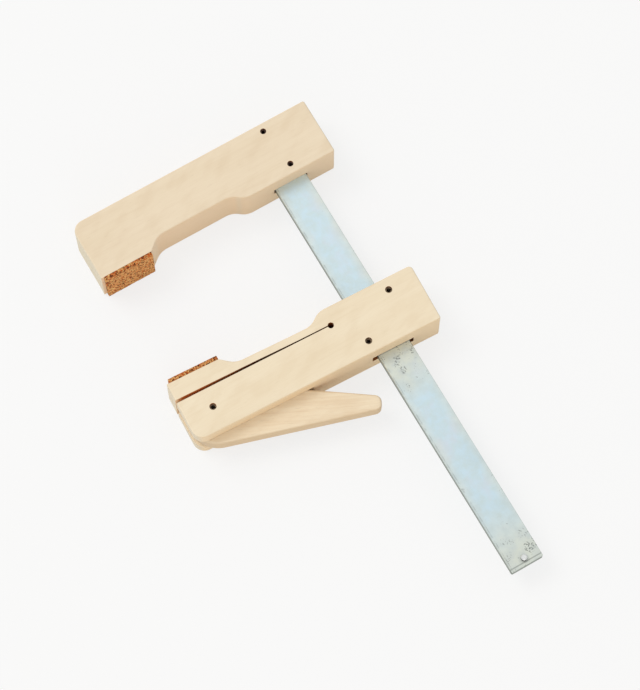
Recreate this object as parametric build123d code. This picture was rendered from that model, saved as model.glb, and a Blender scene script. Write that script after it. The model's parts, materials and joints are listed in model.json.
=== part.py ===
from build123d import *
import math
import os

# Cam clamp: two wooden jaws on a flat steel bar. The head jaw is pinned to one end of the bar,
# the other jaw slides, and a cam lever in its nose bends a thin wooden arm towards the head jaw.
# It lies flat. X runs along the bar from the head jaw to the free end, the jaws reach out in -Y,
# and Z is the thickness. The origin is on the underside of the head jaw, below the middle of the bar.
# All sizes are in millimetres and all angles in degrees.

# Driving dimensions: both jaws
jaw_thickness = 28.0
jaw_depth = 35.4            # size of a jaw along the bar
nose_reach = 122.8          # middle of the bar to the nose end
nose_radius = 7.0
edge_round = 1.0
upright_bevel = 0.8         # small bevel on the upright edges of the rear end
shoulder_start = 25.0       # middle of the bar to where the inner face bends away
shoulder_length = 15.0
recess_depth = 5.5
ramp_angle = 37.0           # slope of the rise to the pad, off the length of the jaw
ramp_radius = 12.0
pad_length = 32.0
pad_setback = 1.6           # nose end of the wood to the end of the pad
pad_proud = 0.6             # how far the wood under a pad stands out from the inner face
pad_thickness = 2.6
tail_of_head = 29.0         # middle of the bar to the rear end, head jaw
tail_of_slider = 30.0       # the same, sliding jaw
slider_tail_radius = 2.5    # rear corner of the sliding jaw on its inner face

# Driving dimensions: bar
bar_width = 20.0
bar_thickness = 5.0
bar_length = 293.5
bar_sunk = 0.4              # how far the bar's end stays below the head's outer face
bar_edge_break = 0.4        # small bevel along the edges
bar_corner = 0.8

# Driving dimensions: pins
head_pin_diameter = 3.5
head_pin_outer = (4.9, -0.4)      # from the outer face, and across the bar
head_pin_inner = (5.7, 3.1)       # from the inner face, and across the bar
head_pin_slits = (-60.0, 60.0)    # where the slit of each head pin looks
stop_pin_diameter = 3.6
stop_pin_inset = 4.0              # pin axis to the bar's free end
stop_pin_rise = 2.5
stop_pin_bevel = 0.6
grip_pin_diameter = 4.0
grip_pin_inset = 7.1              # pin axis to the nearer face of the sliding jaw
grip_pin_slits = (-90.0, 90.0)    # the slits look away from the bar
pivot_pin_diameter = 4.0
pivot_pin_slit = 45.0
pin_sunk = 1.2                    # ends of the pins below the wood
pin_wall = 0.8
pin_slit = 0.7

# Driving dimensions: sliding jaw
slot_play = 3.0             # room beside each edge of the bar
slot_clearance = 0.5        # room over and under the bar
kerf_wall = 10.5            # inner face to the far wall of the saw cut
kerf_width = 0.7
relief_diameter = 3.5
relief_reach = 26.4         # middle of the bar to the hole that ends the saw cut
knuckle_radius = 12.0
knuckle_gap = 0.12
kerf_opening = 0.7          # how far the arm already stands open at rest
jaw_lean = 2.24             # how far the jaw leans at rest, within its play on the bar
front_pin_station = 107.4   # head's inner face to the front grip pin

# Driving dimensions: cam lever
pivot_inset = 21.5          # inner face to the pivot
pivot_to_nose = 16.9        # pivot to the nose end
lever_slot = 10.0
lever_clearance = 0.2       # on each side of the lever
cam_ratio = 0.03            # arm angle for each degree of the lever
cam_gap = 0.1
cam_arcs = 5                # arcs that draw the cam's spiral
handle_angle = 23.95        # middle of the handle, off the length of the jaw
handle_outer_angle = 15.1   # outer edge of the handle
handle_inner_offset = 17.1  # pivot to the line of the inner edge
handle_length = 93.5        # pivot to the tip
handle_tip_width = 8.1
handle_tip_radius = 4.0
heel_radius = 4.0
lever_round = 1.6
slot_floor_gap = 1.6        # slot floor to the inner edge of the handle

# Driving dimensions: clearances of the fits
mortise_side = 0.8          # beside each edge of the bar in the head
mortise_face = 0.05         # over and under the bar in the head
running_clearance = 0.05    # on the radius of a hole that turns on its pin
grip_clearance = 0.05       # grip pin to the edge of the bar

# Working values for cuts
overrun = 1.0               # how far a cut starts and ends outside the wood
level_tolerance = 0.01      # height within which an edge counts as level

# Places that follow from the driving dimensions
middle = jaw_thickness / 2
head_face = jaw_depth / 2
head_back = -jaw_depth / 2
bar_start = head_back + bar_sunk
bar_end = bar_start + bar_length
pad_reach = nose_reach - pad_length
pad_face = -pad_proud - pad_thickness
pivot_reach = nose_reach - pivot_to_nose
grip_offset = bar_width / 2 + grip_clearance + grip_pin_diameter / 2

front_pin_local = Vector(jaw_depth - grip_pin_inset, -grip_offset)
rear_pin_local = Vector(grip_pin_inset, grip_offset)
hinge_local = Vector(kerf_wall, -relief_reach)
pivot_local = Vector(pivot_inset, -pivot_reach)
front_pin_place = Vector(head_face + front_pin_station, -grip_offset)


def placed(shape):
    """Carry a shape from the sliding jaw's own frame to its place on the bar."""
    turn = Location((front_pin_place.X, front_pin_place.Y, 0), (0, 0, -jaw_lean))
    return turn * Location((-front_pin_local.X, -front_pin_local.Y, 0)) * shape


def opened(shape):
    """Turn a shape of the arm about its hinge, in the sliding jaw's own frame."""
    turn = Location((hinge_local.X, hinge_local.Y, 0), (0, 0, -kerf_opening))
    return turn * Location((-hinge_local.X, -hinge_local.Y, 0)) * shape


def upright(sketch, low, high):
    """Raise a flat shape between two heights."""
    return Location((0, 0, low)) * extrude(sketch, high - low)


def rod(x, y, diameter, low=0.0, high=jaw_thickness):
    """A solid cylinder along Z."""
    return Location((x, y, low)) * Cylinder(
        diameter / 2, high - low, align=(Align.CENTER, Align.CENTER, Align.MIN)
    )


def block(x_low, x_high, y_low, y_high, z_low, z_high):
    """A box between two corners."""
    box = Box(x_high - x_low, y_high - y_low, z_high - z_low, align=(Align.MIN,) * 3)
    return Location((x_low, y_low, z_low)) * box


def level_edges(shape):
    """The edges of a shape that lie in a level plane."""
    return shape.edges().filter_by(lambda edge: abs(edge.bounding_box().size.Z) < level_tolerance)


def corner(shape, x, y):
    """The vertex of a flat shape that is nearest to a point."""
    return shape.vertices().sort_by_distance((x, y, 0))[0]


def jaw_outline(tail):
    """Outline of a jaw in plan: inner face at x = 0, wood towards +X, nose at -Y, rear end still square."""
    slope = math.radians(ramp_angle)
    arc_rise = ramp_radius * (1 - math.cos(slope))
    arc_run = ramp_radius * math.sin(slope)
    ramp_rise = recess_depth + pad_proud - arc_rise
    ramp_run = ramp_rise / math.tan(slope)
    shoulder_end = shoulder_start + shoulder_length

    inner_tail = Vector(0, tail)
    bend = Vector(0, -shoulder_start)
    half_way = Vector(recess_depth / 2, -(shoulder_start + shoulder_end) / 2)
    recess_from = Vector(recess_depth, -shoulder_end)
    pad_corner = Vector(-pad_proud, -pad_reach)
    ramp_foot = pad_corner + Vector(ramp_rise, ramp_run)
    recess_to = ramp_foot + Vector(arc_rise, arc_run)
    inner_nose = Vector(-pad_proud, -nose_reach)
    outer_nose = Vector(jaw_depth, -nose_reach)
    outer_tail = Vector(jaw_depth, tail)

    edges = [
        Line(inner_tail, bend),
        TangentArc(bend, half_way, tangent=(0, -1)),
        TangentArc(recess_from, half_way, tangent=(0, 1)),
        Line(recess_from, recess_to),
        TangentArc(recess_to, ramp_foot, tangent=(0, -1)),
        Line(ramp_foot, pad_corner),
        Line(pad_corner, inner_nose),
        Line(inner_nose, outer_nose),
        Line(outer_nose, outer_tail),
        Line(outer_tail, inner_tail),
    ]
    face = make_face(Wire(edges))
    return fillet(corner(face, jaw_depth, -nose_reach), nose_radius)


def head_plan():
    """Plan of the fixed jaw, with bevelled rear corners."""
    plan = jaw_outline(tail_of_head)
    tails = [corner(plan, 0, tail_of_head), corner(plan, jaw_depth, tail_of_head)]
    return chamfer(tails, upright_bevel)


def slider_plan():
    """Plan of the sliding jaw, whose inner rear corner is rounded."""
    plan = jaw_outline(tail_of_slider)
    plan = fillet(corner(plan, 0, tail_of_slider), slider_tail_radius)
    return chamfer(corner(plan, jaw_depth, tail_of_slider), upright_bevel)


def jaw_blank(plan):
    """A whole jaw with softened edges, apart from the crisp edges under its pad."""
    blank = extrude(plan, jaw_thickness)
    soft = level_edges(blank).filter_by(lambda edge: edge.center().X > -pad_proud / 2)
    return fillet(soft, edge_round)


def cork_pad():
    """Cork facing on the wood's pad face, in the frame of its jaw."""
    return block(pad_face, -pad_proud, -nose_reach + pad_setback, -pad_reach, 0, jaw_thickness)


def spring_pin(x, y, diameter, slit_angle):
    """A slotted tubular pin through the thickness of a jaw."""
    low = pin_sunk
    high = jaw_thickness - pin_sunk
    pin = rod(0, 0, diameter, low, high) - rod(0, 0, diameter - 2 * pin_wall, low, high)
    pin -= block(0, diameter, -pin_slit / 2, pin_slit / 2, low, high)
    return Location((x, y, 0), (0, 0, slit_angle)) * pin


def jaw_pin(place, diameter, slit_angle):
    """A spring pin of the sliding jaw, given by its place in that jaw's own frame."""
    return placed(spring_pin(place.X, place.Y, diameter, slit_angle))


def head_jaw():
    """Fixed jaw: its inner face looks along +X, and a mortise holds the bar."""
    jaw = mirror(jaw_blank(head_plan()), about=Plane.YZ)
    jaw = Location((head_face, 0, 0)) * jaw
    half_width = bar_width / 2 + mortise_side
    half_height = bar_thickness / 2 + mortise_face
    low = middle - half_height
    high = middle + half_height
    jaw -= block(head_back - overrun, head_face + overrun, -half_width, half_width, low, high)
    for x, y in head_pin_places():
        jaw -= rod(x, y, head_pin_diameter)
    return jaw


def head_pin_places():
    """Axes of the two pins that hold the bar in the head."""
    outer_depth, outer_y = head_pin_outer
    inner_depth, inner_y = head_pin_inner
    return [(head_back + outer_depth, outer_y), (head_face - inner_depth, inner_y)]


def steel_bar():
    """Flat bar with bevelled edges, two pin holes in the head and one near the free end."""
    low = middle - bar_thickness / 2
    bar = block(bar_start, bar_end, -bar_width / 2, bar_width / 2, low, low + bar_thickness)
    bar = fillet(bar.edges().filter_by(Axis.Z).group_by(Axis.X)[-1], bar_corner)
    bar = chamfer(bar.edges().filter_by(Axis.X), bar_edge_break)
    for x, y in head_pin_places():
        bar -= rod(x, y, head_pin_diameter)
    bar -= rod(bar_end - stop_pin_inset, 0, stop_pin_diameter)
    return bar


def stop_pin():
    """Short pin through the bar that keeps the sliding jaw from running off."""
    low = middle - bar_thickness / 2 - stop_pin_rise
    high = middle + bar_thickness / 2 + stop_pin_rise
    pin = rod(bar_end - stop_pin_inset, 0, stop_pin_diameter, low, high)
    return chamfer(pin.edges().filter_by(GeomType.CIRCLE), stop_pin_bevel)


def arm_zone(wall, radius):
    """The flat region that the arm takes: nose side of the knuckle, inner side of the saw cut."""
    length = nose_reach + edge_round
    zone = Pos(wall, hinge_local.Y) * Rectangle(jaw_depth, length, align=(Align.MAX, Align.MAX))
    return zone - Pos(hinge_local.X, hinge_local.Y) * Circle(radius)


def lever_slot_outline():
    """Plan of the lever's slot: open at the nose, the outer face and the saw cut.

    Its floor runs beside the inner edge of the handle.
    """
    heading = handle_inner_heading()
    off_edge = Vector(-heading.Y, heading.X) * (handle_inner_offset + slot_floor_gap)
    floor = pivot_local + off_edge
    angle = math.degrees(math.atan2(-heading.Y, -heading.X))
    far = 2 * nose_reach
    beside = Rectangle(2 * far, far, align=(Align.CENTER, Align.MIN))
    beside = Location((floor.X, floor.Y, 0), (0, 0, angle)) * beside
    room = Rectangle(jaw_depth, 2 * far, align=(Align.MIN, Align.CENTER))
    return Pos(kerf_wall - kerf_width, 0) * room & beside


def sliding_jaw(blank):
    """The body of the sliding jaw, without its arm."""
    jaw = blank - upright(arm_zone(kerf_wall, knuckle_radius), -overrun, jaw_thickness + overrun)
    jaw -= rod(hinge_local.X, hinge_local.Y, relief_diameter)
    kerf_from = hinge_local.Y - knuckle_radius - overrun
    jaw -= block(kerf_wall - kerf_width, kerf_wall, kerf_from, hinge_local.Y, 0, jaw_thickness)

    low = middle - bar_thickness / 2 - slot_clearance
    high = middle + bar_thickness / 2 + slot_clearance
    half_width = bar_width / 2 + slot_play
    jaw -= block(-overrun, jaw_depth + overrun, -half_width, half_width, low, high)

    jaw -= rod(front_pin_local.X, front_pin_local.Y, grip_pin_diameter + 2 * running_clearance)
    jaw -= rod(rear_pin_local.X, rear_pin_local.Y, grip_pin_diameter)
    jaw -= rod(pivot_local.X, pivot_local.Y, pivot_pin_diameter)
    jaw -= upright(lever_slot_outline(), middle - lever_slot / 2, middle + lever_slot / 2)
    return jaw


def flexing_arm(blank):
    """The thin arm between the saw cut and the recess, as it stands open at rest."""
    zone = arm_zone(kerf_wall - kerf_width, knuckle_radius + knuckle_gap)
    return opened(blank & upright(zone, -overrun, jaw_thickness + overrun))


def cam_support(normal_angle):
    """Distance from the pivot to the cam's tangent line, and its rate of change with the angle.

    The arm's underside turns about the hinge by cam_ratio for each degree of the lever, and
    the cam is the shape that stays tangent to that underside all the way.
    """
    rest_normal = 180 - kerf_opening
    lever_angle = (normal_angle - rest_normal) / (1 - cam_ratio)
    arm_angle = math.radians(kerf_opening + cam_ratio * lever_angle)
    across = pivot_local.X - hinge_local.X
    along = hinge_local.Y - pivot_local.Y
    distance = across * math.cos(arm_angle) + along * math.sin(arm_angle) + kerf_width - cam_gap
    slope = (along * math.cos(arm_angle) - across * math.sin(arm_angle)) * cam_ratio / (1 - cam_ratio)
    return distance, slope


def cam_point(normal_angle):
    """Point where the cam touches its tangent line, from the pivot."""
    distance, slope = cam_support(normal_angle)
    angle = math.radians(normal_angle)
    outward = Vector(math.cos(angle), math.sin(angle))
    return outward * distance + heading_at(normal_angle) * slope


def heading_at(normal_angle):
    """Direction of travel round the cam where its outward normal has a given angle."""
    angle = math.radians(normal_angle)
    return Vector(-math.sin(angle), math.cos(angle))


def crossing(point_a, heading_a, point_b, heading_b):
    """Where two lines cross."""
    gap = point_b - point_a
    turn = heading_a.X * heading_b.Y - heading_a.Y * heading_b.X
    step = (gap.X * heading_b.Y - gap.Y * heading_b.X) / turn
    return point_a + heading_a * step


def handle_tip():
    """Outer and inner corner of the handle's square tip, from the pivot."""
    across = heading_at(90 - handle_angle)
    last_normal = 360 - handle_outer_angle
    middle_of_tip = Vector(across.Y, -across.X) * handle_length
    outer_tip = crossing(cam_point(last_normal), heading_at(last_normal), middle_of_tip, across)
    return outer_tip, outer_tip + across * handle_tip_width


def handle_inner_heading():
    """Direction of the handle's inner edge, which passes the pivot at its offset and ends at the tip."""
    inner_tip = handle_tip()[1]
    to_tip = math.degrees(math.atan2(inner_tip.Y, inner_tip.X))
    swing = math.degrees(math.asin(handle_inner_offset / inner_tip.length))
    return heading_at(to_tip - swing - 90)


def lever_outline():
    """Outline of the lever in plan, from the pivot, in the sliding jaw's own frame."""
    first_normal = 180 - kerf_opening
    last_normal = 360 - handle_outer_angle
    stretch = (last_normal - first_normal) / cam_arcs
    normals = [first_normal + stretch * i for i in range(cam_arcs + 1)]
    cam = [cam_point(normal) for normal in normals]
    outer_tip, inner_tip = handle_tip()
    heel = crossing(cam[0], heading_at(first_normal), inner_tip, handle_inner_heading())

    edges = [TangentArc(cam[i], cam[i + 1], tangent=heading_at(normals[i])) for i in range(cam_arcs)]
    edges += [
        Line(cam[-1], outer_tip),
        Line(outer_tip, inner_tip),
        Line(inner_tip, heel),
        Line(heel, cam[0]),
    ]
    face = make_face(Wire(edges))
    tips = [corner(face, outer_tip.X, outer_tip.Y), corner(face, inner_tip.X, inner_tip.Y)]
    face = fillet(tips, handle_tip_radius)
    return fillet(corner(face, heel.X, heel.Y), heel_radius)


def cam_lever():
    """Cam and handle in one piece of wood, with a hole that turns on the pivot pin."""
    half = lever_slot / 2 - lever_clearance
    lever = upright(lever_outline(), middle - half, middle + half)
    lever = fillet(level_edges(lever), lever_round)
    lever -= rod(0, 0, pivot_pin_diameter + 2 * running_clearance)
    return Location((pivot_local.X, pivot_local.Y, 0)) * lever


def build():
    """All pieces in their places, by node name."""
    blank = jaw_blank(slider_plan())
    outer_place, inner_place = head_pin_places()
    outer_slit, inner_slit = head_pin_slits
    front_slit, rear_slit = grip_pin_slits
    return {
        "fixed_jaw": head_jaw(),
        "bar": steel_bar(),
        "fixed_pad": Location((head_face, 0, 0)) * mirror(cork_pad(), about=Plane.YZ),
        "head_pin_outer": spring_pin(*outer_place, head_pin_diameter, outer_slit),
        "head_pin_inner": spring_pin(*inner_place, head_pin_diameter, inner_slit),
        "stop_pin": stop_pin(),
        "sliding_jaw": placed(sliding_jaw(blank)),
        "flexing_arm": placed(flexing_arm(blank)),
        "sliding_pad": placed(opened(cork_pad())),
        "front_grip_pin": jaw_pin(front_pin_local, grip_pin_diameter, front_slit),
        "rear_grip_pin": jaw_pin(rear_pin_local, grip_pin_diameter, rear_slit),
        "cam_pivot_pin": jaw_pin(pivot_local, pivot_pin_diameter, pivot_pin_slit),
        "cam_lever": placed(cam_lever()),
    }


pieces = build()
os.makedirs("parts", exist_ok=True)
for name, piece in pieces.items():
    export_step(piece, f"parts/{name}.step")
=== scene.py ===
import json
import math

import bmesh
import bpy
from mathutils import Matrix, Vector, noise


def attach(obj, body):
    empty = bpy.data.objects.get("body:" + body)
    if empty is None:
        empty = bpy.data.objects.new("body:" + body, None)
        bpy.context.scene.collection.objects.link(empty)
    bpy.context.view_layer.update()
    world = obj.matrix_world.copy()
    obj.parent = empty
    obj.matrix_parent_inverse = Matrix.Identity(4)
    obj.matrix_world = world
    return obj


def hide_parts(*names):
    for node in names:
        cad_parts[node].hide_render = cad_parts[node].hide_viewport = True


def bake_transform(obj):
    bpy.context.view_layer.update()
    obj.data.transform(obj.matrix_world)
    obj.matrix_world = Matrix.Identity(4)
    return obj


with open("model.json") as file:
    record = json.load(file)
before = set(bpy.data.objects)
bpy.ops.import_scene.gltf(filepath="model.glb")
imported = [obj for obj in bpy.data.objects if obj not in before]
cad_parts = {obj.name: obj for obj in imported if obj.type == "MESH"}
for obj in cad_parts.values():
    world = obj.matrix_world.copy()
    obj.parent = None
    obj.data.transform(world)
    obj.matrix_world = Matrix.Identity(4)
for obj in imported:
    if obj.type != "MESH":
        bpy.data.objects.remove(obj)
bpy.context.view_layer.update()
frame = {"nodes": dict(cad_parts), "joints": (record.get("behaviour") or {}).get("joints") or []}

NODES = frame["nodes"]
SLIDER_BODY = "sliding_jaw"
ARM_BODY = "flexing_arm"
HEAD_BODY = "bar_and_head"

# Sizes of the object, in millimetres, as in the frame
MM = 0.001
THICKNESS = 28.0
DEPTH = 35.4
NOSE_REACH = 122.8
NOSE_RADIUS = 7.0
UPRIGHT_BEVEL = 0.8         # on the upright edges of the rear end
SLIDER_TAIL_RADIUS = 2.5    # inner rear corner of the sliding jaw
EDGE_ROUND = 1.0
CRISP_ROUND = 0.15          # rounding where the wood carries a pad
SHOULDER_START = 25.0
SHOULDER_LENGTH = 15.0
RECESS_DEPTH = 5.5
RAMP_ANGLE = math.radians(37.0)
RAMP_RADIUS = 12.0
PAD_LENGTH = 32.0
PAD_SETBACK = 1.6           # nose end of the wood to the end of the pad
PAD_PROUD = 0.6
PAD_THICKNESS = 2.6
TAIL_OF_HEAD = 29.0
TAIL_OF_SLIDER = 30.0
BAR_WIDTH = 20.0
BAR_THICKNESS = 5.0
MORTISE_SIDE = 0.8
MORTISE_FACE = 0.05
SLOT_PLAY = 3.0
SLOT_CLEARANCE = 0.5
KERF_WALL = 10.5
KERF_WIDTH = 0.7
KERF_OPENING = math.radians(0.7)
RELIEF_DIAMETER = 3.5
RELIEF_REACH = 26.4
JAW_LEAN = math.radians(2.24)
LEVER_SLOT = 10.0
SLOT_FLOOR_OFFSET = 18.7    # pivot to the floor of the lever's slot
SLOT_FLOOR_ANGLE = math.radians(32.8)
PIVOT = (21.5, -105.9)
GRIP_PIN = 4.0
HEAD_PIN = 3.5
FRONT_PIN = (28.3, -12.05)
REAR_PIN = (7.1, 12.05)
HEAD_PINS = ((-12.8, -0.4), (12.0, 3.1))

MIDDLE = THICKNESS / 2
HEAD_FACE = DEPTH / 2
HINGE = (KERF_WALL, -RELIEF_REACH)
SEAM = -24.5                # where the arm's piece meets the jaw's, above the relief hole
BEND_START = -29.0
BEND_END = -76.0

# Photograph's view
CAMERA_PLACE = (0.53641, -0.282963, 1.567343)
CAMERA_AIM = (0.105944, -0.032179, 0.0)
CAMERA_LENS = 151.76


def joint_place(name):
    """Place of a joint in plan, in millimetres."""
    for joint in frame["joints"]:
        if joint["name"] == name:
            return Vector(joint["pos_m"][:2]) / MM
    raise KeyError(name)


FRONT_PIN_PLACE = joint_place("jaw_rock")


def turned(point, centre, angle):
    """A point in plan, turned about a centre."""
    spoke = Vector(point) - Vector(centre)
    spoke.rotate(Matrix.Rotation(angle, 2))
    return Vector(centre) + spoke


def on_slider(point):
    """A point of the sliding jaw's own plan, in millimetres, at its place in the frame."""
    leaning = turned(point, FRONT_PIN, -JAW_LEAN)
    return leaning - Vector(FRONT_PIN) + FRONT_PIN_PLACE


def on_head(point):
    """A point of the fixed jaw's own plan at its place in the frame."""
    return Vector((HEAD_FACE - point[0], point[1]))


# Outline of a jaw in plan: inner face at x = 0, wood towards +X, nose at -Y
def arc(centre, radius, start, end, step=math.radians(5)):
    """Points along an arc, its ends included."""
    count = max(2, round(abs(end - start) / step))
    angles = [start + (end - start) * i / count for i in range(count + 1)]
    return [Vector((centre[0] + radius * math.cos(a), centre[1] + radius * math.sin(a))) for a in angles]


def jaw_outline(tail, inner_corner):
    """Points round a jaw, anticlockwise from the rear end of its inner face, whose corner is given."""
    run = SHOULDER_LENGTH / 2
    rise = RECESS_DEPTH / 2
    bend_radius = (run ** 2 + rise ** 2) / (2 * rise)
    bend_angle = math.asin(run / bend_radius)
    ramp_rise = RECESS_DEPTH + PAD_PROUD - RAMP_RADIUS * (1 - math.cos(RAMP_ANGLE))
    ramp_run = ramp_rise / math.tan(RAMP_ANGLE)
    pad_corner = Vector((-PAD_PROUD, -(NOSE_REACH - PAD_LENGTH)))
    ramp_foot = pad_corner + Vector((ramp_rise, ramp_run))
    shoulder_end = SHOULDER_START + SHOULDER_LENGTH
    right = math.pi / 2
    fine = math.radians(3)

    points = list(inner_corner)
    points += arc((bend_radius, -SHOULDER_START), bend_radius, 2 * right, 2 * right + bend_angle, fine)
    points += arc((RECESS_DEPTH - bend_radius, -shoulder_end), bend_radius, bend_angle, 0, fine)[1:]
    # concave arc at the foot of the ramp, tangent to the recess
    ramp_centre = (RECESS_DEPTH - RAMP_RADIUS, ramp_foot.y + RAMP_RADIUS * math.sin(RAMP_ANGLE))
    points += arc(ramp_centre, RAMP_RADIUS, 0, -RAMP_ANGLE, fine)
    points += [ramp_foot.lerp(pad_corner, share) for share in (0.3, 0.6, 0.8, 0.93)]
    points.append(pad_corner)
    points.append(Vector((-PAD_PROUD, -NOSE_REACH)))
    points += [Vector((-PAD_PROUD + step, -NOSE_REACH)) for step in (0.5, 1.2, 2.5, 4.0)]
    nose_centre = (DEPTH - NOSE_RADIUS, -NOSE_REACH + NOSE_RADIUS)
    points += arc(nose_centre, NOSE_RADIUS, -right, 0)
    points += [Vector((DEPTH, tail - UPRIGHT_BEVEL)), Vector((DEPTH - UPRIGHT_BEVEL, tail))]
    return points


def bevelled_corner(tail):
    """Points of a bevelled inner rear corner."""
    return [Vector((UPRIGHT_BEVEL, tail)), Vector((0, tail - UPRIGHT_BEVEL))]


def rounded_corner(tail):
    """Points of a rounded inner rear corner."""
    radius = SLIDER_TAIL_RADIUS
    return arc((radius, tail - radius), radius, math.pi / 2, math.pi, math.radians(9))


def edge_radius(point):
    """Rounding of the level edges at a point of the outline: crisp beside the pad, soft elsewhere."""
    pad_start = -(NOSE_REACH - PAD_LENGTH)
    if point.x <= -PAD_PROUD + 0.01:
        return CRISP_ROUND
    if point.y < -NOSE_REACH + 0.01:
        fade = min(1.0, (point.x + PAD_PROUD) / 4.0)
    elif point.x < RECESS_DEPTH and point.y < pad_start + 8.0:
        fade = min(1.0, (point.y - pad_start) / 5.0)
    else:
        fade = 1.0
    wobble = 1 + 0.10 * noise.noise(Vector((point.x * 0.11, point.y * 0.07, 3.0)))
    return CRISP_ROUND + (EDGE_ROUND * wobble - CRISP_ROUND) * max(0.0, fade)


def dense(points, longest=4.0):
    """The same closed outline with long straight stretches divided."""
    out = []
    for start, end in zip(points, points[1:] + points[:1]):
        count = max(1, math.ceil((end - start).length / longest))
        out += [start.lerp(end, i / count) for i in range(count)]
    return out


def softened_block(name, outline, radii, low=0.0, high=THICKNESS, steps=6):
    """A closed prism over an anticlockwise outline, with rounded level edges, in millimetres."""
    count = len(outline)
    inward = []
    for i in range(count):
        before = (outline[i] - outline[i - 1]).normalized()
        after = (outline[(i + 1) % count] - outline[i]).normalized()
        normal = Vector((-before.y - after.y, before.x + after.x)).normalized()
        inward.append(normal / max(0.35, normal.dot(Vector((-after.y, after.x)))))
    quarter = [math.pi / 2 * k / steps for k in range(steps + 1)]
    rings = [(1 - math.sin(a), low, 1 - math.cos(a)) for a in quarter]
    rings += [(1 - math.sin(a), high, math.cos(a) - 1) for a in reversed(quarter)]
    bm = bmesh.new()
    loops = []
    for inset, base, rise in rings:
        loop = []
        for point, normal, radius in zip(outline, inward, radii):
            spot = point + normal * (radius * inset)
            loop.append(bm.verts.new((spot.x, spot.y, base + radius * rise)))
        loops.append(loop)
    for lower, upper in zip(loops, loops[1:]):
        for i in range(count):
            j = (i + 1) % count
            bm.faces.new((lower[i], lower[j], upper[j], upper[i]))
    bm.faces.new(list(reversed(loops[0])))
    bm.faces.new(loops[-1])
    mesh = bpy.data.meshes.new(name)
    bm.to_mesh(mesh)
    bm.free()
    return link(bpy.data.objects.new(name, mesh))


def link(obj):
    """Put an object into the scene."""
    bpy.context.scene.collection.objects.link(obj)
    return obj


def apply_modifiers(obj):
    """Turn an object's modifiers into its mesh."""
    graph = bpy.context.evaluated_depsgraph_get()
    mesh = bpy.data.meshes.new_from_object(obj.evaluated_get(graph))
    obj.modifiers.clear()
    obj.data = mesh


def box_cutter(x, y, z):
    """A box between two values on each axis."""
    bm = bmesh.new()
    bmesh.ops.create_cube(bm, size=1.0)
    centre = Vector((sum(x) / 2, sum(y) / 2, sum(z) / 2))
    size = Vector((x[1] - x[0], y[1] - y[0], z[1] - z[0]))
    bmesh.ops.scale(bm, vec=size, verts=bm.verts)
    bmesh.ops.translate(bm, vec=centre, verts=bm.verts)
    return cutter_object(bm)


def hole_cutter(place, diameter, segments=40):
    """A cylinder through the whole thickness."""
    bm = bmesh.new()
    bmesh.ops.create_cone(
        bm,
        cap_ends=True,
        segments=segments,
        radius1=diameter / 2,
        radius2=diameter / 2,
        depth=2 * THICKNESS,
    )
    bmesh.ops.translate(bm, vec=(place[0], place[1], MIDDLE), verts=bm.verts)
    return cutter_object(bm)


def slab_cutter(outline, low, high):
    """A prism over an anticlockwise outline."""
    bm = bmesh.new()
    lower = [bm.verts.new((p[0], p[1], low)) for p in outline]
    upper = [bm.verts.new((p[0], p[1], high)) for p in outline]
    for i in range(len(outline)):
        j = (i + 1) % len(outline)
        bm.faces.new((lower[i], lower[j], upper[j], upper[i]))
    bm.faces.new(list(reversed(lower)))
    bm.faces.new(upper)
    return cutter_object(bm)


def cutter_object(bm):
    """An object for one cut, deleted after it."""
    mesh = bpy.data.meshes.new("cutter")
    bm.to_mesh(mesh)
    bm.free()
    return link(bpy.data.objects.new("cutter", mesh))


def boolean(obj, cutter, operation="DIFFERENCE"):
    """Cut an object with another one, or keep what they share."""
    modifier = obj.modifiers.new("cut", "BOOLEAN")
    modifier.operation = operation
    modifier.solver = "EXACT"
    modifier.object = cutter
    apply_modifiers(obj)
    bpy.data.objects.remove(cutter)


def mark_cut_faces(obj, material, tests):
    """Give the faces of saw cuts, holes and slots the scorch-brown wood with painted light and shade. Done
    in the piece's own plan.
    """
    obj.data.materials.clear()
    obj.data.materials.append(material)
    obj.data.materials.append(SAW_CUT)
    for face in obj.data.polygons:
        face.material_index = 1 if any(test(face.center, face.normal) for test in tests) else 0


def in_hole(place, diameter):
    """A test for faces on the wall of a hole."""
    reach = diameter / 2 + 0.05
    centre = Vector(place)
    return lambda spot, normal: abs(normal.z) < 0.1 and (spot.xy - centre).length < reach


def in_slot(half_width, half_height):
    """A test for faces on the walls of the slot that the bar goes through."""
    width, height = half_width + 0.01, half_height + 0.01
    return lambda spot, normal: abs(spot.y) < width and abs(spot.z - MIDDLE) < height and abs(normal.x) < 0.5


def on_saw_cut(spot, normal):
    """A test for faces on the walls of the saw cut."""
    inside = KERF_WALL - KERF_WIDTH - 0.05 <= spot.x <= KERF_WALL + 0.05
    return inside and spot.y < SEAM and abs(normal.x) > 0.9


def place_mesh(obj, rule):
    """Move every vertex from a piece's own plan in millimetres to its place in the frame in metres."""
    for vertex in obj.data.vertices:
        spot = rule((vertex.co.x, vertex.co.y))
        vertex.co = (spot[0] * MM, spot[1] * MM, vertex.co.z * MM)
    obj.data.update()


def smooth_faces(obj, limit=math.radians(32)):
    """Smooth shading with sharp edges kept, and flat faces left flat."""
    bm = bmesh.new()
    bm.from_mesh(obj.data)
    bmesh.ops.remove_doubles(bm, verts=bm.verts, dist=1e-7)
    bmesh.ops.dissolve_degenerate(bm, edges=bm.edges, dist=1e-7)
    for face in bm.faces:
        face.smooth = True
    for edge in bm.edges:
        edge.smooth = len(edge.link_faces) == 2 and edge.calc_face_angle(0.0) < limit
    bm.to_mesh(obj.data)
    bm.free()
    modifier = obj.modifiers.new("flat faces", "WEIGHTED_NORMAL")
    modifier.keep_sharp = True
    modifier.weight = 100
    apply_modifiers(obj)


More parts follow.
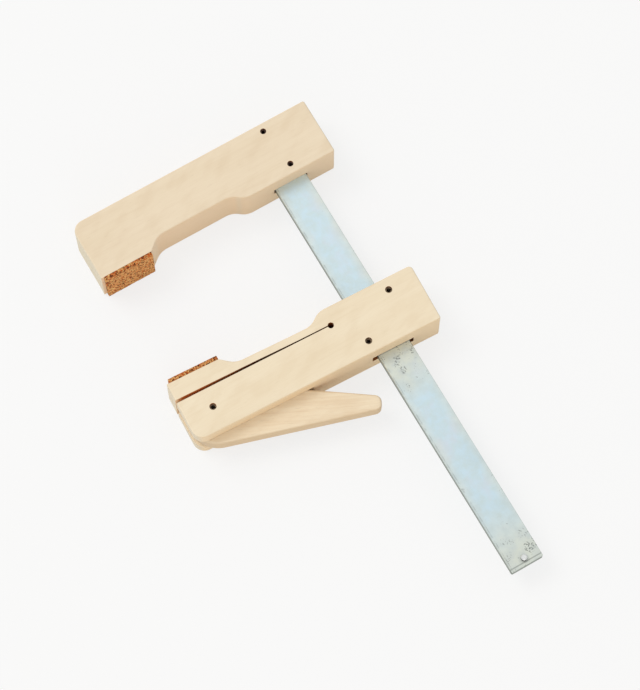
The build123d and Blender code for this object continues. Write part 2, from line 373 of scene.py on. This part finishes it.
# Node helpers
def new_material(name):
    """An empty node material with its output and one principled shader."""
    material = bpy.data.materials.new(name)
    material.use_nodes = True
    tree = material.node_tree
    tree.nodes.clear()
    output = tree.nodes.new("ShaderNodeOutputMaterial")
    shader = tree.nodes.new("ShaderNodeBsdfPrincipled")
    tree.links.new(shader.outputs[0], output.inputs[0])
    return material, tree, shader


def node(tree, kind, **settings):
    """A node with its settings and input values."""
    made = tree.nodes.new("ShaderNode" + kind)
    for key, value in settings.items():
        if hasattr(made, key):
            setattr(made, key, value)
        else:
            made.inputs[key.replace("_", " ")].default_value = value
    return made


def mapped(tree, scale, turn=0.0):
    """Object coordinates, divided by a scale on each axis, with the axes turned about Z."""
    coordinates = node(tree, "TexCoord")
    mapping = node(tree, "Mapping", vector_type="TEXTURE")
    mapping.inputs["Scale"].default_value = [1 / value for value in scale]
    mapping.inputs["Rotation"].default_value = (0, 0, turn)
    tree.links.new(coordinates.outputs["Object"], mapping.inputs["Vector"])
    return mapping.outputs[0]


def noise_at(tree, vector, scale, detail=2.0, roughness=0.5):
    """A noise value at a vector."""
    made = node(tree, "TexNoise", Scale=scale, Detail=detail, Roughness=roughness)
    tree.links.new(vector, made.inputs["Vector"])
    return made.outputs[0]


def ramp(tree, value, low, high):
    """A value stretched so that low becomes 0 and high becomes 1."""
    made = node(tree, "MapRange")
    made.inputs["From Min"].default_value = low
    made.inputs["From Max"].default_value = high
    tree.links.new(value, made.inputs["Value"])
    return made.outputs[0]


def mixed(tree, share, first, second):
    """A colour between two, by a value or a plain number."""
    made = tree.nodes.new("ShaderNodeMix")
    made.data_type = "RGBA"
    for socket, source in ((made.inputs[0], share), (made.inputs[6], first), (made.inputs[7], second)):
        if isinstance(source, bpy.types.NodeSocket):
            tree.links.new(source, socket)
        else:
            socket.default_value = source
    return made.outputs[2]


def math_node(tree, operation, first, second=0.5):
    """Arithmetic on values or plain numbers."""
    made = node(tree, "Math", operation=operation)
    for socket, source in zip(made.inputs, (first, second)):
        if isinstance(source, bpy.types.NodeSocket):
            tree.links.new(source, socket)
        else:
            socket.default_value = source
    return made.outputs[0]


def bump(tree, shader, height, strength, distance):
    """Surface relief from a height value."""
    made = node(tree, "Bump", Strength=strength, Distance=distance)
    tree.links.new(height, made.inputs["Height"])
    tree.links.new(made.outputs[0], shader.inputs["Normal"])


def colour(red, green, blue):
    """A colour written as it looks on screen, 0 to 255."""
    def linear(value):
        value /= 255
        return value / 12.92 if value <= 0.04045 else ((value + 0.055) / 1.055) ** 2.4
    return (linear(red), linear(green), linear(blue), 1.0)


# Materials
def object_split(tree):
    """Object coordinates, as three values."""
    coordinates = node(tree, "TexCoord")
    split = node(tree, "SeparateXYZ")
    tree.links.new(coordinates.outputs["Object"], split.inputs[0])
    return split.outputs


def facing(tree, axis):
    """How far a face looks along an axis, either way."""
    coordinates = node(tree, "TexCoord")
    split = node(tree, "SeparateXYZ")
    tree.links.new(coordinates.outputs["Normal"], split.inputs[0])
    return math_node(tree, "ABSOLUTE", split.outputs[axis])


def upright_share(tree):
    """1 on upright faces and 0 on level ones."""
    return ramp(tree, facing(tree, 2), 0.75, 0.35)


def product(tree, first, second):
    """Two values multiplied."""
    return math_node(tree, "MULTIPLY", first, second)


def wood(name, pale, tan, fibre, side, end, turn=0.0, contrast=1.0):
    """Pale close-grained wood, grain along Y, with painted shade as other tones on the long sides, and on
    the ends a tone that is partly end grain and partly painted shade.
    """
    material, tree, shader = new_material(name)
    broad = noise_at(tree, mapped(tree, (70, 11, 70), turn), 1.0, 3.0, 0.55)
    bands = noise_at(tree, mapped(tree, (520, 20, 520), turn), 1.0, 4.0, 0.6)
    fine = noise_at(tree, mapped(tree, (2600, 110, 2600), turn), 1.0, 3.0, 0.65)
    flecks = noise_at(tree, mapped(tree, (1500, 200, 1500), turn), 1.0, 2.0, 0.5)
    figure = noise_at(tree, mapped(tree, (150, 60, 150), turn + 0.45), 1.0, 2.0, 0.5)
    base = mixed(tree, ramp(tree, broad, 0.30, 0.72), pale, tan)
    base = mixed(tree, product(tree, ramp(tree, figure, 0.45, 0.70), 0.20), base, fibre)
    base = mixed(tree, product(tree, ramp(tree, bands, 0.44, 0.70), 0.13 * contrast), base, fibre)
    base = mixed(tree, product(tree, ramp(tree, fine, 0.48, 0.76), 0.13 * contrast), base, fibre)
    pore_colour = tuple(value * 0.6 for value in fibre[:3]) + (1.0,)
    base = mixed(tree, product(tree, ramp(tree, flecks, 0.66, 0.75), 0.13 * contrast), base, pore_colour)
    # painted shade: faces that look along X take the side tone; faces that look along Y take the end tone,
    # which is partly end grain and partly painted shade
    base = mixed(tree, product(tree, ramp(tree, facing(tree, 0), 0.35, 0.85), 0.75), base, side)
    base = mixed(tree, product(tree, ramp(tree, facing(tree, 1), 0.45, 0.90), 0.75), base, end)
    tree.links.new(base, shader.inputs["Base Color"])
    rough = math_node(tree, "MULTIPLY_ADD", bands, 0.18)
    rough.node.inputs[2].default_value = 0.50
    tree.links.new(rough, shader.inputs["Roughness"])
    shader.inputs["Specular IOR Level"].default_value = 0.32
    relief = math_node(tree, "ADD", product(tree, fine, 0.6), product(tree, flecks, -0.4))
    bump(tree, shader, relief, 0.2, 0.0001)
    return material


def saw_cut_wood():
    """Wood of the saw cut, brown from the blade's scorch: darkened by painted shade far inside the cut and
    on most hole and slot walls, brightened orange by painted light towards the nose, and pale at its open
    end.
    """
    material, tree, shader = new_material("scorch_with_painted_light_and_shade")
    streaks = noise_at(tree, mapped(tree, (300, 40, 900)), 1.0, 3.0, 0.6)
    along = object_split(tree)[1]
    # painted light and shade: the lighter orange stands for light reaching the cut towards the nose, the
    # dark brown for shade far inside the cut and on most hole and slot walls
    scorch_in_painted_light = mixed(tree, ramp(tree, streaks, 0.35, 0.68), colour(240, 170, 98), colour(206, 132, 72))
    scorch_in_painted_shade = mixed(tree, ramp(tree, streaks, 0.35, 0.68), colour(176, 110, 60), colour(120, 72, 40))
    base = mixed(tree, ramp(tree, along, -0.075, -0.105), scorch_in_painted_shade, scorch_in_painted_light)
    base = mixed(tree, ramp(tree, along, -0.1175, -0.1205), base, colour(246, 220, 186))
    tree.links.new(base, shader.inputs["Base Color"])
    shader.inputs["Roughness"].default_value = 0.85
    shader.inputs["Specular IOR Level"].default_value = 0.2
    bump(tree, shader, streaks, 0.4, 0.0002)
    return material


def cork():
    """Pressed cork: pale and dark granules in a brown binder, with painted shade darkening its level top and
    bottom edges.
    """
    material, tree, shader = new_material("cork")
    place = mapped(tree, (1, 1, 1))
    warped = noise_at(tree, place, 1300.0, 2.0, 0.5)
    cells = node(tree, "TexVoronoi", Scale=1450.0, Randomness=1.0)
    shifted = tree.nodes.new("ShaderNodeVectorMath")
    shifted.operation = "ADD"
    tree.links.new(place, shifted.inputs[0])
    scaled = product(tree, warped, 0.0005)
    tree.links.new(scaled, shifted.inputs[1])
    tree.links.new(shifted.outputs[0], cells.inputs["Vector"])
    split = node(tree, "SeparateColor")
    tree.links.new(cells.outputs["Color"], split.inputs[0])
    granule = split.outputs[0]
    base = mixed(tree, ramp(tree, granule, 0.05, 0.95), colour(212, 105, 43), colour(255, 216, 142))
    dark = ramp(tree, split.outputs[1], 0.76, 0.82)
    base = mixed(tree, product(tree, dark, 0.95), base, colour(74, 34, 16))
    rim = ramp(tree, cells.outputs["Distance"], 0.42, 0.70)
    base = mixed(tree, product(tree, rim, 0.50), base, colour(168, 82, 37))
    # painted shade: the level faces, the pad's top and bottom edges, are multiplied darker
    level = math_node(tree, "SUBTRACT", 1.0, upright_share(tree))
    shade = tree.nodes.new("ShaderNodeMix")
    shade.data_type = "RGBA"
    shade.blend_type = "MULTIPLY"
    tree.links.new(level, shade.inputs[0])
    tree.links.new(base, shade.inputs[6])
    shade.inputs[7].default_value = (0.81, 0.71, 0.65, 1.0)
    base = shade.outputs[2]
    tree.links.new(base, shader.inputs["Base Color"])
    shader.inputs["Roughness"].default_value = 0.9
    shader.inputs["Specular IOR Level"].default_value = 0.15
    height = math_node(tree, "SUBTRACT", granule, cells.outputs["Distance"])
    bump(tree, shader, height, 0.6, 0.0003)
    return material


def zinc():
    """Bluish zinc plating, greenish grey where worn, with scratches and spots near its edges."""
    material, tree, shader = new_material("zinc_plating")
    place = mapped(tree, (1, 1, 1))
    along, across, _ = object_split(tree)
    off_centre = math_node(tree, "ABSOLUTE", across)
    cloud = noise_at(tree, place, 60.0, 3.0, 0.55)
    mottle = noise_at(tree, place, 190.0, 3.0, 0.6)
    drift = product(tree, math_node(tree, "SUBTRACT", cloud, 0.5), 0.030)
    shifted = math_node(tree, "ADD", along, drift)
    # worn towards the long edges, beside the sliding jaw and at the free end
    edge = math_node(tree, "ADD", off_centre, product(tree, cloud, 0.008))
    worn = product(tree, ramp(tree, edge, 0.0085, 0.0145), 0.75)
    beside = product(tree, ramp(tree, shifted, 0.166, 0.146), ramp(tree, shifted, 0.118, 0.130))
    worn = math_node(tree, "MAXIMUM", worn, beside)
    worn = math_node(tree, "MAXIMUM", worn, ramp(tree, shifted, 0.236, 0.266))
    blue = mixed(tree, ramp(tree, mottle, 0.35, 0.68), colour(214, 236, 247), colour(212, 230, 234))
    blue = mixed(tree, product(tree, ramp(tree, cloud, 0.50, 0.66), 0.6), blue, colour(219, 227, 238))
    grey = mixed(tree, ramp(tree, mottle, 0.38, 0.66), colour(226, 232, 222), colour(214, 222, 218))
    base = mixed(tree, worn, blue, grey)
    drawn = noise_at(tree, mapped(tree, (30, 1500, 1500)), 1.0, 3.0, 0.6)
    base = mixed(tree, product(tree, ramp(tree, drawn, 0.60, 0.85), 0.14), base, colour(180, 192, 194))
    # dark spots and short scratches, crowded at the worn places
    spots = noise_at(tree, place, 1150.0, 2.0, 0.55)
    scratches = noise_at(tree, mapped(tree, (500, 1700, 900), 0.7), 1.0, 2.0, 0.5)
    patches = ramp(tree, noise_at(tree, place, 150.0, 2.0, 0.5), 0.44, 0.62)
    crowd = product(tree, product(tree, worn, patches), 0.26)
    along_edges = product(tree, ramp(tree, off_centre, 0.0075, 0.0100), 0.05)
    crowd = math_node(tree, "MAXIMUM", crowd, along_edges)
    dots = ramp(tree, math_node(tree, "ADD", spots, crowd), 0.79, 0.87)
    lines = ramp(tree, math_node(tree, "ADD", scratches, crowd), 0.82, 0.89)
    marks = math_node(tree, "MAXIMUM", dots, lines)
    base = mixed(tree, product(tree, marks, 0.72), base, colour(92, 98, 96))
    # dark lines beside the sheared edges: one 1 mm inside the -Y edge, broken by the mottle, and one at the
    # free end
    dark_edge_line = ramp(tree, math_node(tree, "ABSOLUTE", math_node(tree, "ADD", across, 0.0090)), 0.00045, 0.00015)
    dark_edge_line = product(tree, dark_edge_line, ramp(tree, mottle, 0.42, 0.56))
    off_end = math_node(tree, "ABSOLUTE", math_node(tree, "SUBTRACT", along, 0.27435))
    dark_end_line = ramp(tree, off_end, 0.0005, 0.0002)
    dark_edge_line = math_node(tree, "MAXIMUM", product(tree, dark_edge_line, 0.30), product(tree, dark_end_line, 0.50))
    base = mixed(tree, dark_edge_line, base, colour(120, 126, 122))
    side_tone = mixed(tree, ramp(tree, drawn, 0.3, 0.7), colour(138, 146, 134), colour(84, 92, 80))
    base = mixed(tree, product(tree, upright_share(tree), 0.85), base, side_tone)
    tree.links.new(base, shader.inputs["Base Color"])
    shader.inputs["Metallic"].default_value = 0.85
    rough = math_node(tree, "MULTIPLY_ADD", cloud, 0.25)
    rough.node.inputs[2].default_value = 0.32
    tree.links.new(rough, shader.inputs["Roughness"])
    bump(tree, shader, math_node(tree, "ADD", drawn, spots), 0.08, 0.0001)
    return material


def pin_zinc():
    """Stop pin: its level top made bright as a painted highlight, its upright wall near black as painted
    shade.
    """
    material, tree, shader = new_material("stop_pin_steel")
    grain = noise_at(tree, mapped(tree, (1, 1, 1)), 1500.0, 3.0, 0.6)
    # painted highlight on the level top and painted shade on the upright wall, chosen by the facing of each
    # face
    top = mixed(tree, grain, colour(244, 246, 246), colour(226, 230, 230))
    tree.links.new(mixed(tree, upright_share(tree), top, colour(34, 34, 32)), shader.inputs["Base Color"])
    shader.inputs["Metallic"].default_value = 0.5
    shader.inputs["Roughness"].default_value = 0.35
    bump(tree, shader, grain, 0.1, 0.0001)
    return material


def spring_steel(name, light, dark):
    """Plain spring steel, oiled and brown."""
    material, tree, shader = new_material(name)
    grain = noise_at(tree, mapped(tree, (1, 1, 1)), 1500.0, 3.0, 0.6)
    base = mixed(tree, ramp(tree, grain, 0.35, 0.7), light, dark)
    tree.links.new(base, shader.inputs["Base Color"])
    shader.inputs["Metallic"].default_value = 0.6
    shader.inputs["Roughness"].default_value = 0.5
    bump(tree, shader, grain, 0.2, 0.0001)
    return material


# The side tones below are painted shade on the long sides; the end tones are partly end grain and partly
# painted shade.
HEAD_WOOD = wood(
    "head_wood",
    colour(242, 225, 198),
    colour(237, 219, 190),
    colour(216, 190, 156),
    side=colour(242, 214, 178),
    end=colour(226, 217, 194),
)
JAW_WOOD = wood(
    "jaw_wood",
    colour(247, 232, 204),
    colour(242, 225, 195),
    colour(222, 198, 162),
    side=colour(242, 212, 170),
    end=colour(226, 214, 190),
)
LEVER_WOOD = wood(
    "lever_wood",
    colour(248, 232, 203),
    colour(242, 222, 190),
    colour(212, 178, 138),
    side=colour(218, 188, 148),
    end=colour(206, 180, 146),
    turn=-0.457,
    contrast=1.8,
)
SAW_CUT = saw_cut_wood()
CORK = cork()
ZINC = zinc()
PIN_ZINC = pin_zinc()
STEEL = spring_steel("spring_steel", colour(150, 130, 106), colour(92, 76, 58))
DARK_STEEL = spring_steel("dark_spring_steel", colour(96, 72, 62), colour(56, 42, 38))


def dress(obj, material):
    """Give a piece one material."""
    obj.data.materials.clear()
    obj.data.materials.append(material)


# Fixed jaw
def mirrored_outline(points):
    """An outline mirrored to the fixed jaw's place, still anticlockwise."""
    return [on_head(point) for point in reversed(points)]


def fixed_jaw_wood():
    """The head's wooden block, with the mortise for the bar and two pin holes."""
    plan = dense(jaw_outline(TAIL_OF_HEAD, bevelled_corner(TAIL_OF_HEAD)))
    radii = [edge_radius(point) for point in plan]
    block = softened_block("head_block", mirrored_outline(plan), list(reversed(radii)))
    half = BAR_WIDTH / 2 + MORTISE_SIDE
    rise = BAR_THICKNESS / 2 + MORTISE_FACE
    boolean(block, box_cutter((-DEPTH, DEPTH), (-half, half), (MIDDLE - rise, MIDDLE + rise)))
    for place in HEAD_PINS:
        boolean(block, hole_cutter(place, HEAD_PIN))
    tests = [in_hole(place, HEAD_PIN) for place in HEAD_PINS]
    mark_cut_faces(block, HEAD_WOOD, tests + [in_slot(half, rise)])
    place_mesh(block, lambda spot: spot)
    smooth_faces(block)
    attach(block, HEAD_BODY)
    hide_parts("fixed_jaw")
    return block


# Sliding jaw
def slider_outline():
    """Plan of the sliding jaw and the rounding at each point."""
    plan = dense(jaw_outline(TAIL_OF_SLIDER, rounded_corner(TAIL_OF_SLIDER)), 3.0)
    return plan, [edge_radius(point) for point in plan]


def slot_floor_outline():
    """Plan of the lever's slot in the sliding jaw's own frame, anticlockwise."""
    along = Vector((math.sin(SLOT_FLOOR_ANGLE), math.cos(SLOT_FLOOR_ANGLE)))
    floor = Vector(PIVOT) + Vector((-along.y, along.x)) * SLOT_FLOOR_OFFSET
    left = KERF_WALL - KERF_WIDTH
    corner = floor + along * ((left - floor.x) / along.x)
    far = floor + along * ((2 * DEPTH - floor.x) / along.x)
    below = -NOSE_REACH - DEPTH
    return [corner, Vector((left, below)), Vector((2 * DEPTH, below)), far]


def sliding_jaw_wood():
    """The sliding jaw without its arm: saw cut, slots and holes."""
    plan, radii = slider_outline()
    block = softened_block("jaw_block", plan, radii)
    far = -NOSE_REACH - DEPTH
    boolean(block, box_cutter((-DEPTH, KERF_WALL), (far, SEAM), (-THICKNESS, 2 * THICKNESS)))
    boolean(block, hole_cutter(HINGE, RELIEF_DIAMETER))
    half = BAR_WIDTH / 2 + SLOT_PLAY
    rise = BAR_THICKNESS / 2 + SLOT_CLEARANCE
    boolean(block, box_cutter((-DEPTH, 2 * DEPTH), (-half, half), (MIDDLE - rise, MIDDLE + rise)))
    slot_low = MIDDLE - LEVER_SLOT / 2
    boolean(block, slab_cutter(slot_floor_outline(), slot_low, slot_low + LEVER_SLOT))
    for place in (FRONT_PIN, REAR_PIN, PIVOT):
        boolean(block, hole_cutter(place, GRIP_PIN))
    tests = [in_hole(place, GRIP_PIN) for place in (FRONT_PIN, REAR_PIN, PIVOT)]
    tests += [in_hole(HINGE, RELIEF_DIAMETER), in_slot(half, rise), on_saw_cut]
    mark_cut_faces(block, JAW_WOOD, tests)
    finish_slider(block)
    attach(block, SLIDER_BODY)
    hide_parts("sliding_jaw")
    return block


def finish_slider(block):
    """Place in the frame and shading of a wooden piece of the sliding jaw."""
    place_mesh(block, on_slider)
    smooth_faces(block)


def opened(point):
    """A point of the arm, bent open as the arm stands at rest."""
    share = min(1.0, max(0.0, (BEND_START - point[1]) / (BEND_START - BEND_END)))
    share = share * share * (3 - 2 * share)
    return turned(point, HINGE, -KERF_OPENING * share)


def arm_wood():
    """The thin arm, sliced and bent open where it is thin, as it stands at rest."""
    plan, radii = slider_outline()
    block = softened_block("jaw_arm", plan, radii)
    far = -NOSE_REACH - DEPTH
    wall = KERF_WALL - KERF_WIDTH
    boolean(block, box_cutter((-DEPTH, wall), (far, SEAM), (-THICKNESS, 2 * THICKNESS)), "INTERSECT")
    boolean(block, hole_cutter(HINGE, RELIEF_DIAMETER))
    bm = bmesh.new()
    bm.from_mesh(block.data)
    station = BEND_START + 2
    while station > BEND_END - 4:
        bmesh.ops.bisect_plane(
            bm, geom=bm.verts[:] + bm.edges[:] + bm.faces[:], plane_co=(0, station, 0), plane_no=(0, 1, 0)
        )
        station -= 3
    bm.to_mesh(block.data)
    bm.free()
    mark_cut_faces(block, JAW_WOOD, [in_hole(HINGE, RELIEF_DIAMETER), on_saw_cut])
    for vertex in block.data.vertices:
        vertex.co.xy = opened(vertex.co.xy)
    finish_slider(block)
    start = on_slider((0, BEND_START)) * MM
    end = on_slider((0, BEND_END)) * MM
    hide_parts("flexing_arm")
    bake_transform(block)
    return block


# Cork pads
def cork_pad(name, rule, body, node_name):
    """A slab of cork with a granular surface and slightly crumbled edges."""
    cell = 0.5
    size = Vector((PAD_THICKNESS, PAD_LENGTH - PAD_SETBACK, THICKNESS))
    counts = [max(2, round(value / cell)) for value in size]
    bm = bmesh.new()
    grid = {}

    def vertex(i, j, k):
        key = (i, j, k)
        if key not in grid:
            grid[key] = bm.verts.new((i / counts[0], j / counts[1], k / counts[2]))
        return grid[key]

    def side(fixed, value):
        first, second = [axis for axis in range(3) if axis != fixed]
        for a in range(counts[first]):
            for b in range(counts[second]):
                corners = []
                for da, db in ((0, 0), (1, 0), (1, 1), (0, 1)):
                    key = [0, 0, 0]
                    key[fixed] = value
                    key[first] = a + da
                    key[second] = b + db
                    corners.append(vertex(*key))
                bm.faces.new(corners)

    for axis in range(3):
        side(axis, 0)
        side(axis, counts[axis])
    bmesh.ops.recalc_face_normals(bm, faces=bm.faces)
    seed = 11.0 if name == "head_cork" else 47.0
    low = Vector((-PAD_PROUD - PAD_THICKNESS, -NOSE_REACH + PAD_SETBACK, 0.0))
    for v in bm.verts:
        shares = v.co.copy()
        spot = Vector([low[n] + size[n] * shares[n] for n in range(3)])
        on_face = [shares[n] in (0.0, 1.0) for n in range(3)]
        grainy = noise.noise(spot * 1.3 + Vector((seed, 0, 0)))
        pit = max(0.0, noise.noise(spot * 0.7 + Vector((0, seed, 0))) - 0.25)
        for n in range(3):
            if not on_face[n]:
                continue
            if n == 0 and shares[0] == 1.0:
                continue
            depth = 0.05 + 0.09 * abs(grainy) + 0.35 * pit
            if sum(on_face) > 1:
                depth += 0.12 + 0.12 * abs(noise.noise(spot * 0.9 + Vector((0, 0, seed))))
            spot[n] += depth if shares[n] == 0.0 else -depth
        v.co = spot
    mesh = bpy.data.meshes.new(name)
    bm.to_mesh(mesh)
    bm.free()
    pad = link(bpy.data.objects.new(name, mesh))
    place_mesh(pad, rule)
    for face in pad.data.polygons:
        face.use_smooth = True
    dress(pad, CORK)
    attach(pad, body)
    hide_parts(node_name)
    return pad


def flip_faces(obj):
    """Turn the faces of a mirrored piece the right way out."""
    bm = bmesh.new()
    bm.from_mesh(obj.data)
    bmesh.ops.recalc_face_normals(bm, faces=bm.faces)
    bm.to_mesh(obj.data)
    bm.free()


fixed_jaw_wood()
sliding_jaw_wood()
arm_wood()
flip_faces(cork_pad("head_cork", on_head, HEAD_BODY, "fixed_pad"))
cork_pad("jaw_cork", lambda spot: on_slider(turned(spot, HINGE, -KERF_OPENING)), ARM_BODY, "sliding_pad")

dress(NODES["bar"], ZINC)
dress(NODES["stop_pin"], PIN_ZINC)
for name in ("front_grip_pin", "rear_grip_pin", "cam_pivot_pin"):
    dress(NODES[name], STEEL)
for name in ("head_pin_outer", "head_pin_inner"):
    dress(NODES[name], DARK_STEEL)
dress(NODES["cam_lever"], LEVER_WOOD)


# Floor, light and camera
def stage_material():
    """Pale floor: matt, and lifted towards white where the camera or a reflection sees it."""
    material, tree, shader = new_material("pale_floor")
    path = node(tree, "LightPath")
    seen = math_node(tree, "MAXIMUM", path.outputs["Is Camera Ray"], path.outputs["Is Glossy Ray"])
    seen = math_node(tree, "MAXIMUM", seen, path.outputs["Is Transmission Ray"])
    speckle = noise_at(tree, mapped(tree, (1, 1, 1)), 6.0, 2.0, 0.5)
    shaded = mixed(tree, speckle, FLOOR_SHADED, FLOOR_SHADED_TOO)
    tree.links.new(mixed(tree, seen, FLOOR_BOUNCE, shaded), shader.inputs["Base Color"])
    shader.inputs["Roughness"].default_value = 0.9
    shader.inputs["Specular IOR Level"].default_value = 0.0
    shader.inputs["Emission Color"].default_value = (1, 1, 1, 1)
    tree.links.new(math_node(tree, "MULTIPLY", seen, FLOOR_LIFT), shader.inputs["Emission Strength"])
    return material


FLOOR_BOUNCE = (0.84, 0.84, 0.83, 1.0)
FLOOR_SHADED = (0.215, 0.215, 0.213, 1.0)
FLOOR_SHADED_TOO = (0.220, 0.220, 0.218, 1.0)
FLOOR_LIFT = 0.737
WORLD_STRENGTH = 0.70
KEY_ENERGY = 69.0
KEY_PLACE = (-2.25, -1.65, 3.75)
KEY_SIZE = 2.6
FILL_ENERGY = 9.0
FILL_PLACE = (2.4, -1.0, 0.9)
FILL_SIZE = 1.8


def make_stage():
    """A large pale floor under the object."""
    bm = bmesh.new()
    bmesh.ops.create_grid(bm, x_segments=4, y_segments=4, size=3.0)
    mesh = bpy.data.meshes.new("floor")
    bm.to_mesh(mesh)
    bm.free()
    floor = link(bpy.data.objects.new("floor", mesh))
    dress(floor, stage_material())


def lamp(name, energy, size, tint, place):
    """A square soft lamp, aimed at the clamp."""
    data = bpy.data.lights.new(name, "AREA")
    data.energy = energy
    data.size = size
    data.color = tint
    obj = link(bpy.data.objects.new(name, data))
    obj.location = place
    aim = Vector((0.12, -0.03, 0.0)) - Vector(place)
    obj.rotation_euler = aim.to_track_quat("-Z", "Y").to_euler()


def make_light():
    """An even pale world, one large soft lamp from the rear left and a weak one from the right."""
    world = bpy.data.worlds.new("studio")
    bpy.context.scene.world = world
    world.use_nodes = True
    background = world.node_tree.nodes["Background"]
    background.inputs["Color"].default_value = (1.0, 0.995, 0.985, 1.0)
    background.inputs["Strength"].default_value = WORLD_STRENGTH
    lamp("key", KEY_ENERGY, KEY_SIZE, (1.0, 0.985, 0.96), KEY_PLACE)
    lamp("fill", FILL_ENERGY, FILL_SIZE, (1.0, 0.96, 0.90), FILL_PLACE)


def make_camera():
    """Camera at the photograph's view."""
    data = bpy.data.cameras.new("camera")
    data.lens = CAMERA_LENS
    data.sensor_width = 36.0
    data.clip_end = 20.0
    camera = link(bpy.data.objects.new("camera", data))
    camera.location = CAMERA_PLACE
    view = Vector(CAMERA_AIM) - Vector(CAMERA_PLACE)
    camera.rotation_euler = view.to_track_quat("-Z", "Y").to_euler()
    bpy.context.scene.camera = camera


make_stage()
make_light()
make_camera()
bpy.context.scene.view_settings.view_transform = "Standard"
